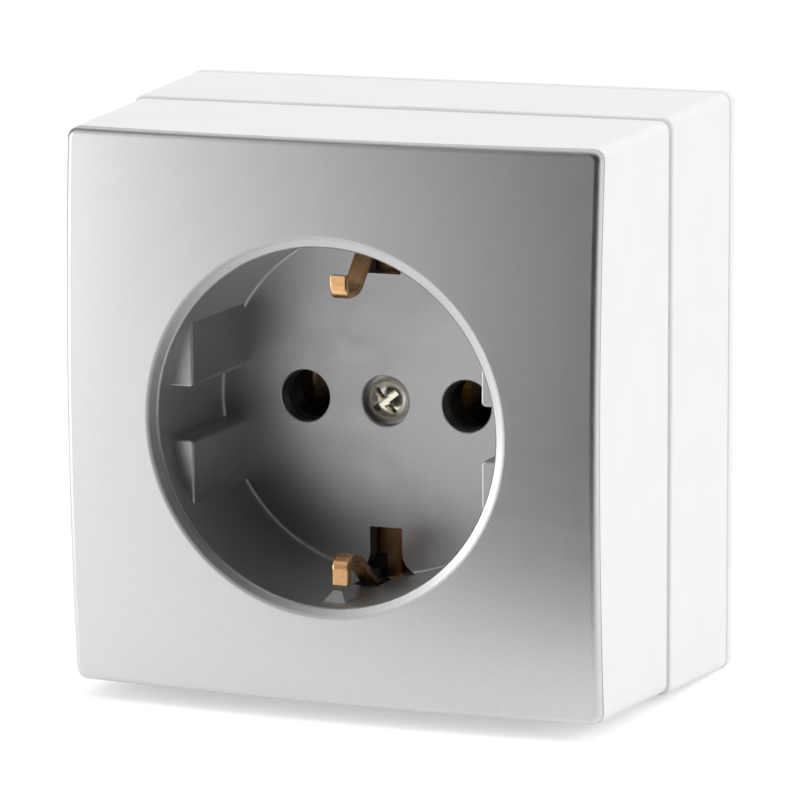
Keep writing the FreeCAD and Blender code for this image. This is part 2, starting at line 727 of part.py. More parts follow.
def build_front_frame():
    """Square white frame between the plate and the box, with a spigot at its back."""
    body = new_body("front_frame")
    drafted_walls(body, as_size(0), seam_front, as_size(0))
    shoulder_reach = seam_reach - s.seam_inset
    square_ring(
        body, "shoulder", seam_front - OVERCUT, s.seam_gap + OVERCUT, shoulder_reach,
        s.box_wall - s.seam_inset)
    square_ring(
        body, "spigot", seam_back - OVERCUT, s.spigot_length + OVERCUT, spigot_reach, s.spigot_wall)
    trim_to_sphere(body, frame_front_radius, "front_trim")
    round_perimeter(body, [(seam_front, side_reach(seam_front))], "edge_break")
    return body


def build_rear_housing():
    """White surface box with posts, wall slots, cable entry and thinned knock-outs."""
    body = new_body("rear_housing")
    drafted_walls(body, seam_back, box_end, s.box_step)

    rebate = face_sketch(body, "rebate_outline", seam_back)
    draw_square(rebate, spigot_reach + s.spigot_clearance, s.corner_radius / 2)
    pocket(body, rebate, s.spigot_length + s.spigot_clearance * 2, "rebate")

    back = face_sketch(body, "back_outline", box_floor)
    draw_square(back, side_reach(box_floor) + s.box_step - s.box_wall / 2, s.corner_radius / 2)
    pad(body, back, s.box_back, "back_wall")

    posts = face_sketch(body, "bracket_post_outlines", bracket_back)
    for side in (-1, 1):
        draw_circle(posts, bracket_screw_reach * side, well_z, s.post_radius)
    pad(body, posts, box_floor - bracket_back + s.box_back / 2, "bracket_posts")
    pilots = face_sketch(body, "bracket_pilot_outlines", bracket_back)
    for side in (-1, 1):
        draw_circle(pilots, bracket_screw_reach * side, well_z, pilot_radius)
    pocket(body, pilots, s.small_length + OVERCUT, "bracket_pilots")

    corner_posts = face_sketch(body, "base_post_outlines", box_floor - s.base_post_height)
    for x, z in base_screw_places():
        draw_circle(corner_posts, x, z, s.post_radius)
    pad(body, corner_posts, s.base_post_height + s.box_back / 2, "base_posts")
    corner_pilots = face_sketch(body, "base_pilot_outlines", box_end)
    for x, z in base_screw_places():
        draw_circle(corner_pilots, x, z, pilot_radius)
    pocket(body, corner_pilots, s.small_length + OVERCUT, "base_pilots", towards_front=True)

    cut_back_openings(body, box_floor, s.box_back)

    half_panel = s.knockout_width / 2
    panel_front = (seam_back + box_floor - s.knockout_length) / 2
    inner = side_reach(panel_front) + s.box_step - s.box_wall
    for level, place in ((1, "upper"), (-1, "lower")):
        panel = new_sketch(body, "XY_Plane", f"{place}_knockout_outline", inner * level)
        draw_box(panel, -half_panel, half_panel, panel_front, panel_front + s.knockout_length)
        pocket(body, panel, s.knockout_cut, f"{place}_knockout", towards_front=level > 0)
    places = [(depth, side_reach(depth) + s.box_step) for depth in (seam_back, box_end)]
    round_perimeter(body, places, "edge_break")
    return body


def base_screw_places():
    reach = s.base_screw_reach
    return [(reach * side, reach * level) for side in (-1, 1) for level in (-1, 1)]


def cut_back_openings(body, start, length):
    """The wall screw slots and the cable entry, through one of the back walls."""
    openings = face_sketch(body, "back_opening_outlines", start)
    half_slot = s.fixing_slot_width / 2
    half_run = s.fixing_slot_length / 2 - half_slot
    for level in (-1, 1):
        middle = s.fixing_spacing / 2 * level
        corners = (
            (half_slot, middle - half_run), (half_slot, middle + half_run),
            (-half_slot, middle + half_run), (-half_slot, middle - half_run),
        )
        draw_outline(openings, corners, {1: half_slot * END_ARC, 3: half_slot * END_ARC})
    draw_circle(openings, 0, 0, s.cable_radius)
    pocket(body, openings, length, "back_openings")


def build_base_plate():
    """Thin plate against the wall, with a land that keeps a shadow gap to the box."""
    body = new_body("base_plate")
    plate = face_sketch(body, "plate_outline", base_front)
    draw_square(plate, rest_height, s.corner_radius)
    pad(body, plate, s.base_thickness, "plate")
    land = face_sketch(body, "land_outline", box_end)
    draw_square(land, rest_height - s.seam_inset, s.corner_radius / 2)
    pad(body, land, s.base_gap, "land")
    cut_back_openings(body, box_end, s.base_gap + s.base_thickness)

    through = face_sketch(body, "screw_hole_outlines", box_end)
    heads = face_sketch(body, "head_recess_outlines", s.total_depth)
    for x, z in base_screw_places():
        draw_circle(through, x, z, small_hole_radius)
        draw_circle(heads, x, z, s.small_head_radius + s.hole_clearance)
    pocket(body, through, s.base_gap + s.base_thickness, "screw_holes")
    pocket(body, heads, s.small_head_height + s.hole_clearance / 2, "head_recesses", towards_front=True)
    round_perimeter(body, [(base_front, rest_height), (s.total_depth, rest_height)], "edge_break")
    return body


def build_contact_block():
    """Insulating block with pin entries, contact chambers and terminal pockets."""
    body = new_body("contact_block")
    front = face_sketch(body, "front_outline", block_front, well_z)
    draw_rounded_box(front, s.block_width, s.block_height, s.block_round)
    pad(body, front, s.block_front_length, "front_part")
    rear = face_sketch(body, "rear_outline", block_shoulder - OVERCUT, well_z)
    draw_rounded_box(rear, block_rear_width, block_rear_height, s.block_round)
    pad(body, rear, s.block_rear_length + OVERCUT, "rear_part")

    channel = face_sketch(body, "channel_outline", block_front, well_z)
    half_channel = s.bow_width / 2 + s.clamp_play
    half_block = s.block_height / 2 + OVERCUT
    draw_box(channel, -half_channel, half_channel, -half_block, half_block)
    pocket(body, channel, s.bow_thickness, "bow_channel")

    entries = face_sketch(body, "entry_outlines", block_front, well_z)
    chambers = face_sketch(body, "chamber_outlines", chamber_front, well_z)
    tab_ways = face_sketch(body, "tab_way_outlines", clamp_back + s.clamp_play / 2, well_z)
    pockets = face_sketch(body, "pocket_outlines", clamp_front - s.clamp_play, well_z)
    half_chamber = s.chamber_width / 2
    half_tab = s.tab_width / 2 + s.contact_play
    half_pocket = s.clamp_width / 2 + s.clamp_play
    for side in (-1, 1):
        axis = half_pin_spacing * side
        draw_circle(entries, axis, 0, s.entry_radius)
        draw_box(
            chambers, axis - half_chamber, axis + half_chamber, -s.chamber_height / 2, s.chamber_height / 2)
        draw_box(tab_ways, axis - half_tab, axis + half_tab, 0, clamp_reach)
        draw_box(
            pockets, axis - half_pocket, axis + half_pocket,
            clamp_low - s.clamp_play, clamp_high + s.clamp_play)
    draw_box(pockets, -half_pocket, half_pocket, -clamp_high - s.clamp_play, -clamp_low + s.clamp_play)
    pocket(body, entries, s.entry_length, "pin_entries")
    pocket(body, chambers, block_back - chamber_front, "chambers")
    pocket(body, tab_ways, block_back - clamp_back, "tab_ways")
    pocket(body, pockets, block_back - clamp_front + s.clamp_play, "clamp_pockets")

    earth_way = face_sketch(body, "earth_way_outline", bow_back, well_z)
    half_way = s.earth_tab_width / 2 + s.contact_play
    half_tab_gap = s.bow_thickness / 2 + s.contact_play
    draw_box(
        earth_way, -half_way, half_way, -earth_tab_reach - half_tab_gap, half_tab_gap - earth_tab_reach)
    pocket(body, earth_way, clamp_front - bow_back, "earth_way")

    nut = face_sketch(body, "nut_outline", bow_back, well_z)
    draw_circle(nut, 0, 0, s.nut_radius + s.thread_clearance)
    pocket(body, nut, s.nut_length, "nut_seat")
    shank = face_sketch(body, "shank_outline", bow_back, well_z)
    draw_circle(shank, 0, 0, shank_hole_radius)
    pocket(body, shank, s.centre_length + OVERCUT, "shank_hole")

    screw_way = s.thread_radius + s.hole_clearance
    top = new_sketch(body, "XY_Plane", "upper_screw_outlines", clamp_reach + well_z)
    for side in (-1, 1):
        draw_circle(top, half_pin_spacing * side, clamp_axis, screw_way)
    pocket(body, top, s.block_height / 2, "upper_screw_holes", towards_front=True)
    bottom = new_sketch(body, "XY_Plane", "lower_screw_outline", well_z - clamp_reach)
    draw_circle(bottom, 0, clamp_axis, screw_way)
    pocket(body, bottom, s.block_height / 2, "lower_screw_hole")

    pilots = face_sketch(body, "cap_pilot_outlines", block_back, well_z)
    for side in (-1, 1):
        draw_circle(pilots, cap_screw_x * side, 0, pilot_radius)
    pocket(body, pilots, s.small_length, "cap_pilots", towards_front=True)
    return body


def build_contact_cap():
    """Cap over the back of the block, with a wire entry for each terminal and room for the pins' tips."""
    body = new_body("contact_cap")
    plate = face_sketch(body, "cap_outline", block_back, well_z)
    draw_rounded_box(plate, block_rear_width, block_rear_height, s.block_round)
    pad(body, plate, s.cap_thickness, "cap")
    holes = face_sketch(body, "cap_hole_outlines", block_back, well_z)
    for side in (-1, 1):
        draw_circle(holes, half_pin_spacing * side, clamp_reach, s.wire_radius)
        draw_circle(holes, half_pin_spacing * side, 0, s.entry_radius)
        draw_circle(holes, cap_screw_x * side, 0, small_hole_radius)
    draw_circle(holes, 0, -clamp_reach, s.wire_radius)
    pocket(body, holes, s.cap_thickness, "cap_holes")
    return body


def build_support_plate():
    """Steel bracket round the block, screwed to the posts of the box."""
    body = new_body("support_plate")
    outline = face_sketch(body, "bracket_outline", block_shoulder, well_z)
    draw_rounded_box(outline, bracket_width, bracket_height, s.block_round)
    window_play = s.bracket_clearance * 2
    draw_rounded_box(
        outline, block_rear_width + window_play, block_rear_height + window_play, s.block_round)
    pad(body, outline, s.bracket_thickness, "bracket")
    holes = face_sketch(body, "bracket_hole_outlines", block_shoulder)
    for side in (-1, 1):
        draw_circle(holes, bracket_screw_reach * side, well_z, small_hole_radius)
    pocket(body, holes, s.bracket_thickness, "bracket_holes")
    return body


def build_clamp(label, x, level):
    """Brass terminal cage: a wire window along the depth and a threaded hole across it."""
    body = new_body(label)
    middle = clamp_reach * level
    cage = face_sketch(body, "cage_outline", clamp_front, well_z)
    half = s.clamp_width / 2
    draw_box(cage, x - half, x + half, middle - s.clamp_height / 2, middle + s.clamp_height / 2)
    half = s.clamp_window_width / 2
    draw_box(
        cage, x - half, x + half, middle - s.clamp_window_height / 2, middle + s.clamp_window_height / 2)
    pad(body, cage, s.clamp_length, "cage")
    thread = new_sketch(body, "XY_Plane", "thread_outline", well_z + middle)
    draw_circle(thread, x, clamp_axis, s.thread_radius + s.thread_clearance)
    pocket(body, thread, s.clamp_height, "thread", towards_front=level > 0)
    return body


def build_centre_nut():
    """Round brass nut under the earth bow."""
    body = new_body("centre_nut")
    ring = face_sketch(body, "nut_outline", bow_back, well_z)
    draw_circle(ring, 0, 0, s.nut_radius)
    draw_circle(ring, 0, 0, s.centre_shank_radius + s.thread_clearance)
    pad(body, ring, s.nut_length, "nut")
    return body


def build_screw(label, place, turn, head, shank, drive_angle):
    """A domed screw with a cross recess, head towards its own -Y, turned to its place."""
    head_radius, head_height = head
    shank_radius, shank_length = shank
    body = doc.addObject("PartDesign::Body", label)
    body.Label = label
    section = new_sketch(body, "YZ_Plane", "screw_section")
    rim = head_height * HEAD_RIM
    crown = head_height - rim
    crown_arc = (head_radius * head_radius + crown * crown) / (crown * 2)
    tip = shank_radius / 2
    corners = (
        (-head_height, 0), (shank_length, 0), (shank_length, shank_radius - tip / 2),
        (shank_length - tip, shank_radius), (0, shank_radius), (0, head_radius), (-rim, head_radius),
    )
    draw_outline(section, corners, {6: crown_arc})
    revolve(body, section, "screw")
    drive = face_sketch(body, "drive_outline", -head_height)
    bind(drive, "AttachmentOffset.Rotation.Angle", drive_angle)
    half, arm = s.drive_width / 2, head_radius * DRIVE_REACH
    corners = (
        (half, half), (arm, half), (arm, -half), (half, -half), (half, -arm), (-half, -arm),
        (-half, -half), (-arm, -half), (-arm, half), (-half, half), (-half, arm), (half, arm),
    )
    draw_outline(drive, corners)
    pocket(body, drive, head_height * DRIVE_DEPTH, "drive")
    for axis, size in zip("xyz", place):
        bind(body, f"Placement.Base.{axis}", size)
    body.Placement.Rotation = turn
    return body


def in_row(x, depth, height):
    """A place of the unit, given by depth and height, in the frame of the whole part."""
    return as_size(x), as_size(depth) - origin_depth, as_size(height) + rest_height


def build_screws():
    """Every screw of the unit, each in its own seat."""
    facing_front = FreeCAD.Rotation()
    facing_back = FreeCAD.Rotation(FreeCAD.Vector(0, 0, 1), 180)
    facing_up = FreeCAD.Rotation(FreeCAD.Vector(1, 0, 0), -90)
    facing_down = FreeCAD.Rotation(FreeCAD.Vector(1, 0, 0), 90)
    small_head = (s.small_head_radius, s.small_head_height)
    small_shank = (s.small_shank_radius, s.small_length)
    screws = [build_screw(
        "centre_screw", in_row(0, recess_floor, well_z), facing_front,
        (s.centre_head_radius, s.centre_head_height), (s.centre_shank_radius, s.centre_length),
        s.drive_angle)]
    for side, name in ((-1, "left"), (1, "right")):
        screws.append(build_screw(
            f"support_screw_{name}", in_row(bracket_screw_reach * side, block_shoulder, well_z),
            facing_front, small_head, small_shank, as_size(0)))
        screws.append(build_screw(
            f"cap_screw_{name}", in_row(cap_screw_x * side, cap_back, well_z),
            facing_back, small_head, small_shank, as_size(0)))
    seat = block_rear_height / 2
    length = seat - window_low - s.bow_thickness * 1.5
    terminal_head = (s.small_head_radius, s.small_head_height * 1.5)
    terminals = (
        ("live", -half_pin_spacing, 1, facing_up), ("neutral", half_pin_spacing, 1, facing_up),
        ("earth", as_size(0), -1, facing_down),
    )
    for name, x, level, turn in terminals:
        screws.append(build_screw(
            f"{name}_terminal_screw", in_row(x, clamp_axis, well_z + seat * level), turn,
            terminal_head, (s.thread_radius, length), as_size(0)))
    seat = s.total_depth - s.small_head_height - s.hole_clearance / 2
    for number, (x, z) in enumerate(base_screw_places(), start=1):
        screws.append(build_screw(
            f"base_screw_{number}", in_row(x, seat, z), facing_back, small_head, small_shank, as_size(0)))
    return screws


def rounded_wire(points, radii):
    """A closed wire through flat points, with the given radius at each corner."""
    edges = []
    joints = []
    count = len(points)
    for index, radius in enumerate(radii):
        corner = points[index]
        before = (points[index - 1] - corner).normalize()
        after = (points[(index + 1) % count] - corner).normalize()
        if radius < TOLERANCE:
            joints.append((corner, None, corner))
            continue
        half_angle = math.acos(max(-1.0, min(1.0, before.dot(after)))) / 2
        cut = radius / math.tan(half_angle)
        inward = (before + after).normalize()
        middle = corner + inward * (radius / math.sin(half_angle) - radius)
        joints.append((corner + before * cut, middle, corner + after * cut))
    for index, (start, middle, end) in enumerate(joints):
        if middle is not None:
            edges.append(Part.Arc(start, middle, end).toShape())
        following = joints[(index + 1) % count][0]
        if (following - end).Length > TOLERANCE:
            edges.append(Part.LineSegment(end, following).toShape())
    return Part.Wire(edges)


def bent_strip(path, bends, thickness):
    """The side view of a strip bent along a path, as a face in the path's plane."""
    sides = {1: [], -1: []}
    radii = {1: [], -1: []}
    last = len(path) - 1
    normals = []
    for start, end in zip(path, path[1:]):
        along = (end - start).normalize()
        normals.append(FreeCAD.Vector(-along.y, along.x, 0))
    for index, point in enumerate(path):
        if index == 0 or index == last:
            normal = normals[0] if index == 0 else normals[-1]
            bend, turn = 0.0, 0.0
        else:
            first, second = normals[index - 1], normals[index]
            normal = (first + second) / (1 + first.dot(second))
            bend = bends[index - 1]
            turn = first.cross(second).z
        for side in (1, -1):
            sides[side].append(point + normal * (side * thickness / 2))
            inner = (turn > 0) == (side > 0)
            radius = bend - thickness / 2 if inner else bend + thickness / 2
            radii[side].append(radius if bend else 0.0)
    points = sides[1] + sides[-1][::-1]
    return Part.Face(rounded_wire(points, radii[1] + radii[-1][::-1]))


def add_shape(label, shape):
    """A sub-part whose shape is worked out in code, moved to the unit's origin."""
    feature = doc.addObject("Part::Feature", label)
    feature.Label = label
    feature.Shape = shape
    feature.Placement = FreeCAD.Placement(
        FreeCAD.Vector(0, -origin_depth.value, rest_height.value), FreeCAD.Rotation())
    return feature


def side_view(shape, width, middle=0.0):
    """Stand a flat (depth, height) face up across X and give it a width."""
    across = FreeCAD.Matrix(0, 0, 1, middle - width / 2, 1, 0, 0, 0, 0, 1, 0, 0, 0, 0, 0, 1)
    return shape.transformGeometry(across).extrude(FreeCAD.Vector(width, 0, 0))


def front_box(left, right, depth, length, low, high):
    """A straight bar between two depths."""
    return Part.makeBox(right - left, length, high - low, FreeCAD.Vector(left, depth, low))


def build_earth_bow():
    """One bronze strip: a base behind the well's floor and a hooked clip at each end."""
    thickness = s.bow_thickness.value
    middle_depth = block_front.value + thickness / 2
    front = s.clip_front.value + thickness / 2
    axis = well_z.value

    def clip_path(reach, leg, fall):
        crest = reach.value + thickness / 2
        return [
            (front, reach.value + leg.value),
            (front, crest),
            (front + s.clip_crest.value, crest + fall.value),
            (s.clip_shoulder.value, crest + s.clip_rise.value),
            (notch_foot, s.bow_reach.value),
            (middle_depth, s.bow_reach.value),
        ]

    notch_foot = floor_front.value + s.floor_thickness.value / 2
    upper_path = clip_path(s.upper_clip_reach, s.upper_clip_leg, s.upper_clip_fall)
    lower_path = clip_path(s.lower_clip_reach, s.lower_clip_leg, s.lower_clip_fall)
    upper = [FreeCAD.Vector(depth, axis + reach, 0) for depth, reach in upper_path]
    lower = [FreeCAD.Vector(depth, axis - reach, 0) for depth, reach in lower_path]
    bend = s.clip_bend.value
    clip_bends = [bend, bend * 2, bend * 2, thickness, thickness]
    profile = bent_strip(upper + lower[::-1], clip_bends + clip_bends[::-1], thickness)
    strip = side_view(profile, s.clip_width.value)
    rims = [edge for edge in strip.Edges if edge.BoundBox.XLength < TOLERANCE]
    bow = strip.makeFillet(s.clip_edge.value, rims)

    half = s.bow_width.value / 2
    base_reach = s.bow_base_reach.value
    base = front_box(-half, half, block_front.value, thickness, axis - base_reach, axis + base_reach)
    upright = [edge for edge in base.Edges if edge.BoundBox.YLength > thickness - TOLERANCE]
    base = base.makeFillet(half / 2, upright)
    tab_half = s.earth_tab_width.value / 2
    tab_low = axis - earth_tab_reach.value - thickness / 2
    tab_length = clamp_back.value - block_front.value
    tab = front_box(-tab_half, tab_half, block_front.value, tab_length, tab_low, tab_low + thickness)
    bow = bow.fuse([base, tab]).removeSplitter()
    hole = Part.makeCylinder(
        shank_hole_radius.value, thickness * 3,
        FreeCAD.Vector(0, block_front.value - thickness, axis), FreeCAD.Vector(0, 1, 0))
    return add_shape("earth_bow", bow.cut(hole))


def build_contact(label, side):
    """A brass spring that grips a pin from both sides, open behind it, with a tab to its terminal."""
    thickness = s.contact_thickness.value
    axis_x = half_pin_spacing.value * side
    back = contact_back.value - thickness / 2
    mouth = chamber_front.value + s.contact_play.value
    wide = s.chamber_width.value / 2 - s.contact_play.value - thickness / 2
    pinch = s.pinch_radius.value + thickness / 2
    length = back - mouth
    half_path = [
        (wide, mouth), (pinch, mouth + length * PINCH_PLACE),
        (wide, mouth + length * WIDE_PLACE), (wide, back),
    ]
    path = [FreeCAD.Vector(x, y, 0) for x, y in half_path]
    path += [FreeCAD.Vector(-x, y, 0) for x, y in reversed(half_path)]
    soft = thickness * SPRING_BEND
    bends = [soft, soft, thickness, thickness, soft, soft]
    face = bent_strip(path, bends, thickness)
    half = s.contact_width.value / 2
    spring = face.extrude(FreeCAD.Vector(0, 0, s.contact_width.value))
    spring.translate(FreeCAD.Vector(axis_x, 0, well_z.value - half))

    tab_level = window_low.value + thickness / 2
    tab_path = [
        FreeCAD.Vector(back, well_z.value, 0),
        FreeCAD.Vector(back, well_z.value + tab_level, 0),
        FreeCAD.Vector(clamp_front.value + thickness, well_z.value + tab_level, 0),
    ]
    tab = side_view(bent_strip(tab_path, [thickness], thickness), s.tab_width.value, axis_x)
    pin_way = Part.makeCylinder(
        s.entry_radius.value, thickness * 3,
        FreeCAD.Vector(axis_x, back - thickness, well_z.value), FreeCAD.Vector(0, 1, 0))
    return add_shape(label, spring.fuse(tab).removeSplitter().cut(pin_way))


def check_and_write(sub_parts):
    """See that every object is sound, then write each sub-part to its own file."""
    doc.recompute()
    for item in doc.Objects:
        if "Invalid" in item.State or "Error" in item.State:
            raise RuntimeError(f"{item.Label} did not compute: {item.State}")
    os.makedirs("parts", exist_ok=True)
    for part in sub_parts:
        if part.Shape.isNull() or not part.Shape.isValid():
            raise RuntimeError(f"{part.Label} has no valid shape")
        part.Shape.exportStep(f"parts/{part.Label}.step")
        print(f"{part.Label}: {len(part.Shape.Solids)} solid, {part.Shape.Volume:.1f} mm3")


sub_parts = [
    build_cover_plate(),
    build_front_frame(),
    build_rear_housing(),
    build_base_plate(),
    build_contact_block(),
    build_contact_cap(),
    build_support_plate(),
    build_centre_nut(),
    build_clamp("live_clamp", -half_pin_spacing, 1),
    build_clamp("neutral_clamp", half_pin_spacing, 1),
    build_clamp("earth_clamp", as_size(0), -1),
    build_earth_bow(),
    build_contact("live_contact", -1),
    build_contact("neutral_contact", 1),
]
sub_parts += build_screws()
check_and_write(sub_parts)
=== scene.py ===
import json
import math

import bpy
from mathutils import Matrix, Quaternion, Vector

# Looks of the type F wall socket: materials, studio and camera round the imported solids.

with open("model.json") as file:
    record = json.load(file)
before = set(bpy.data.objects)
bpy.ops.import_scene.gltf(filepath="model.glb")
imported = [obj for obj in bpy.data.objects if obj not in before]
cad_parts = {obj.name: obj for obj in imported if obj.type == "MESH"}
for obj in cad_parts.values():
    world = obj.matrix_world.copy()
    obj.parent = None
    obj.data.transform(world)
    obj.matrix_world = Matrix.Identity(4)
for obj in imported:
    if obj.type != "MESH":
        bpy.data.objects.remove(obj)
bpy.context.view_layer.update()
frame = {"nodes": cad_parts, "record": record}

MM = 0.001
WHITE = (1, 1, 1, 1)

# Camera, from the photograph's perspective: angles in degrees, lengths in millimetres.
VIEW_TARGET = (8.0, -18.05, 35.57)
VIEW_AZIMUTH = 21.99
VIEW_ELEVATION = 10.467
VIEW_ROLL = -0.331
VIEW_DISTANCE = 509.32
FOCAL_LENGTH = 216.86
SENSOR_WIDTH = 36.0
CLIP_START = 10
CLIP_END = 20000

# Light levels: 1 is white.
BACKGROUND_LEVEL = 1.0
AMBIENT_LEVEL = 0.72
FLOOR_LIFT = 0.44
CARD_LEVEL = 0.02

# Softboxes that look at the middle of the object: name, azimuth, elevation, distance, width,
# height, level and whether it lights the shine only. The others light all but the shine.
SOFTBOXES = (
    ("key_left", -60, 1, 450, 150, 110, 11.0, True),
    ("wide_left", -48, 22, 480, 330, 520, 1.0, True),
    ("dim_front", -20, 2, 480, 200, 200, 0.2, True),
    ("fill_right", 85, 25, 1000, 600, 600, 2.1, False),
    ("top", 0, 85, 900, 600, 600, 1.05, False),
)

# Floor, with its reach to each side in millimetres.
FLOOR_REACH = 3000
FLOOR_PAINT = (0.86, 0.86, 0.86, 1)

# Painted shade on the earth bow: depths in millimetres where it starts behind the tips and where
# it is full, and the darkest share.
BOW_SHADE_START_DEPTH = -12.5
BOW_SHADE_END_DEPTH = -5.0
BOW_SHADE_SHARE = 0.3

# Dark booth round the front of the object and dark mat before it, in degrees and millimetres.
BOOTH_START = -115
BOOTH_END = 95
BOOTH_STEP = 10
BOOTH_RADIUS = 520
BOOTH_HEIGHT = 1400
MAT_LIFT = 1
MAT_OUTLINE = ((-30, -520), (400, -520), (400, -50), (30, -50), (-30, -70))


def direction(azimuth, elevation):
    """The unit vector from the object to a viewer at these angles in degrees."""
    turn = math.radians(azimuth)
    rise = math.radians(elevation)
    across = math.cos(rise)
    return Vector((math.sin(turn) * across, -math.cos(turn) * across, math.sin(rise)))


class Recipe:
    """A node material that is built up step by step."""

    def __init__(self, name):
        self.material = bpy.data.materials.new(name)
        self.material.use_nodes = True
        self.tree = self.material.node_tree
        self.shader = self.tree.nodes["Principled BSDF"]
        place = self.tree.nodes.new("ShaderNodeTexCoord")
        self.place = place.outputs["Object"]

    def set(self, **values):
        """Set numbers and colours on the shader's own sockets."""
        for name, value in values.items():
            self.shader.inputs[name.replace("_", " ")].default_value = value

    def noise(self, grains_per_mm, detail, stretch=(1, 1, 1)):
        """Noise with a number of grains per millimetre, stretched along the axes."""
        mapping = self.tree.nodes.new("ShaderNodeMapping")
        mapping.inputs["Scale"].default_value = stretch
        self.tree.links.new(self.place, mapping.inputs["Vector"])
        noise = self.tree.nodes.new("ShaderNodeTexNoise")
        noise.inputs["Scale"].default_value = grains_per_mm / MM
        noise.inputs["Detail"].default_value = detail
        self.tree.links.new(mapping.outputs["Vector"], noise.inputs["Vector"])
        return noise.outputs["Fac"]

    def spread(self, source, low, high, source_low=0.3, source_high=0.7):
        """Map a source from its usual range to low and high."""
        node = self.tree.nodes.new("ShaderNodeMapRange")
        node.inputs["From Min"].default_value = source_low
        node.inputs["From Max"].default_value = source_high
        node.inputs["To Min"].default_value = low
        node.inputs["To Max"].default_value = high
        self.tree.links.new(source, node.inputs["Value"])
        return node.outputs["Result"]

    def blend(self, source, first, second):
        """Mix two colours by a source's usual range and use the result as the base colour."""
        factor = self.spread(source, 0.0, 1.0)
        node = self.tree.nodes.new("ShaderNodeMix")
        node.data_type = "RGBA"
        node.inputs["A"].default_value = (*first, 1)
        node.inputs["B"].default_value = (*second, 1)
        self.tree.links.new(factor, node.inputs["Factor"])
        self.tree.links.new(node.outputs["Result"], self.shader.inputs["Base Color"])

    def fade(self, start_mm, end_mm, darkest):
        """Paint shade into the base colour along the depth, from full at the start to the darkest
        share.
        """
        parts = self.tree.nodes.new("ShaderNodeSeparateXYZ")
        self.tree.links.new(self.place, parts.inputs["Vector"])
        shade = self.spread(parts.outputs["Y"], 1.0, darkest, start_mm * MM, end_mm * MM)
        colour = self.shader.inputs["Base Color"]
        node = self.tree.nodes.new("ShaderNodeVectorMath")
        node.operation = "SCALE"
        self.tree.links.new(colour.links[0].from_socket, node.inputs["Vector"])
        self.tree.links.new(shade, node.inputs["Scale"])
        self.tree.links.new(node.outputs["Vector"], colour)

    def roughen(self, source, low, high):
        """Vary the roughness from low to high over a source's usual range."""
        self.tree.links.new(self.spread(source, low, high), self.shader.inputs["Roughness"])

    def emboss(self, height, depth_mm, strength):
        """Bump the surface by a height field."""
        bump = self.tree.nodes.new("ShaderNodeBump")
        bump.inputs["Strength"].default_value = strength
        bump.inputs["Distance"].default_value = depth_mm * MM
        self.tree.links.new(height, bump.inputs["Height"])
        self.tree.links.new(bump.outputs["Normal"], self.shader.inputs["Normal"])


def silver_lacquer():
    """Satin metallic lacquer on plastic: fine flake, hardly any texture."""
    recipe = Recipe("silver_lacquer")
    recipe.set(Metallic=1.0)
    flake = recipe.noise(grains_per_mm=6.0, detail=3.0)
    recipe.blend(flake, first=(0.60, 0.605, 0.61), second=(0.65, 0.65, 0.655))
    cloud = recipe.noise(grains_per_mm=0.5, detail=2.0)
    recipe.roughen(cloud, low=0.43, high=0.47)
    recipe.emboss(flake, depth_mm=0.003, strength=0.25)
    return recipe.material


def white_plastic():
    """White moulded plastic with a soft gloss and a very fine eroded texture."""
    recipe = Recipe("white_plastic")
    cloud = recipe.noise(grains_per_mm=0.15, detail=3.0)
    recipe.blend(cloud, first=(0.885, 0.885, 0.88), second=(0.91, 0.91, 0.91))
    fine = recipe.noise(grains_per_mm=2.2, detail=3.0)
    recipe.roughen(fine, low=0.34, high=0.42)
    recipe.emboss(fine, depth_mm=0.006, strength=0.4)
    return recipe.material


def black_insert():
    """Matt black thermoset of the contact block, with a trace of mould flow."""
    recipe = Recipe("black_insert")
    flow = recipe.noise(grains_per_mm=0.6, detail=4.0, stretch=(1, 1, 3))
    recipe.blend(flow, first=(0.012, 0.012, 0.013), second=(0.022, 0.022, 0.023))
    recipe.roughen(flow, low=0.42, high=0.55)
    grain = recipe.noise(grains_per_mm=3.0, detail=2.0)
    recipe.emboss(grain, depth_mm=0.006, strength=0.5)
    return recipe.material


def rolled_bronze():
    """Rolled bronze strip, full colour at the tips, with painted shade that darkens it towards the
    back, deep in the slot.
    """
    recipe = Recipe("rolled_bronze")
    recipe.set(Metallic=1.0)
    tint = recipe.noise(grains_per_mm=0.9, detail=3.0)
    recipe.blend(tint, first=(0.80, 0.44, 0.20), second=(0.92, 0.58, 0.30))
    # Painted shade: the bow's colour darkens from the tips towards the back, where the slot is
    # dark.
    recipe.fade(BOW_SHADE_START_DEPTH, BOW_SHADE_END_DEPTH, BOW_SHADE_SHARE)
    lines = recipe.noise(grains_per_mm=7.0, detail=2.0, stretch=(1, 0.06, 0.06))
    recipe.roughen(lines, low=0.26, high=0.36)
    recipe.emboss(lines, depth_mm=0.004, strength=0.4)
    return recipe.material


def turned_brass():
    """Dulled brass of the contacts, cages and nut."""
    recipe = Recipe("turned_brass")
    recipe.set(Metallic=1.0)
    tint = recipe.noise(grains_per_mm=0.8, detail=3.0)
    recipe.blend(tint, first=(0.46, 0.32, 0.14), second=(0.56, 0.41, 0.20))
    lines = recipe.noise(grains_per_mm=6.0, detail=2.0, stretch=(0.08, 0.08, 1))
    recipe.roughen(lines, low=0.26, high=0.36)
    recipe.emboss(lines, depth_mm=0.002, strength=0.2)
    return recipe.material


def nickel_plate():
    """Nickel plating of the centre screw, warm grey with a trace of wear."""
    recipe = Recipe("nickel_plate")
    recipe.set(Metallic=1.0)
    tint = recipe.noise(grains_per_mm=1.5, detail=3.0)
    recipe.blend(tint, first=(0.80, 0.75, 0.64), second=(0.88, 0.83, 0.72))
    wear = recipe.noise(grains_per_mm=2.0, detail=3.0)
    recipe.roughen(wear, low=0.16, high=0.26)
    recipe.emboss(wear, depth_mm=0.003, strength=0.3)
    return recipe.material


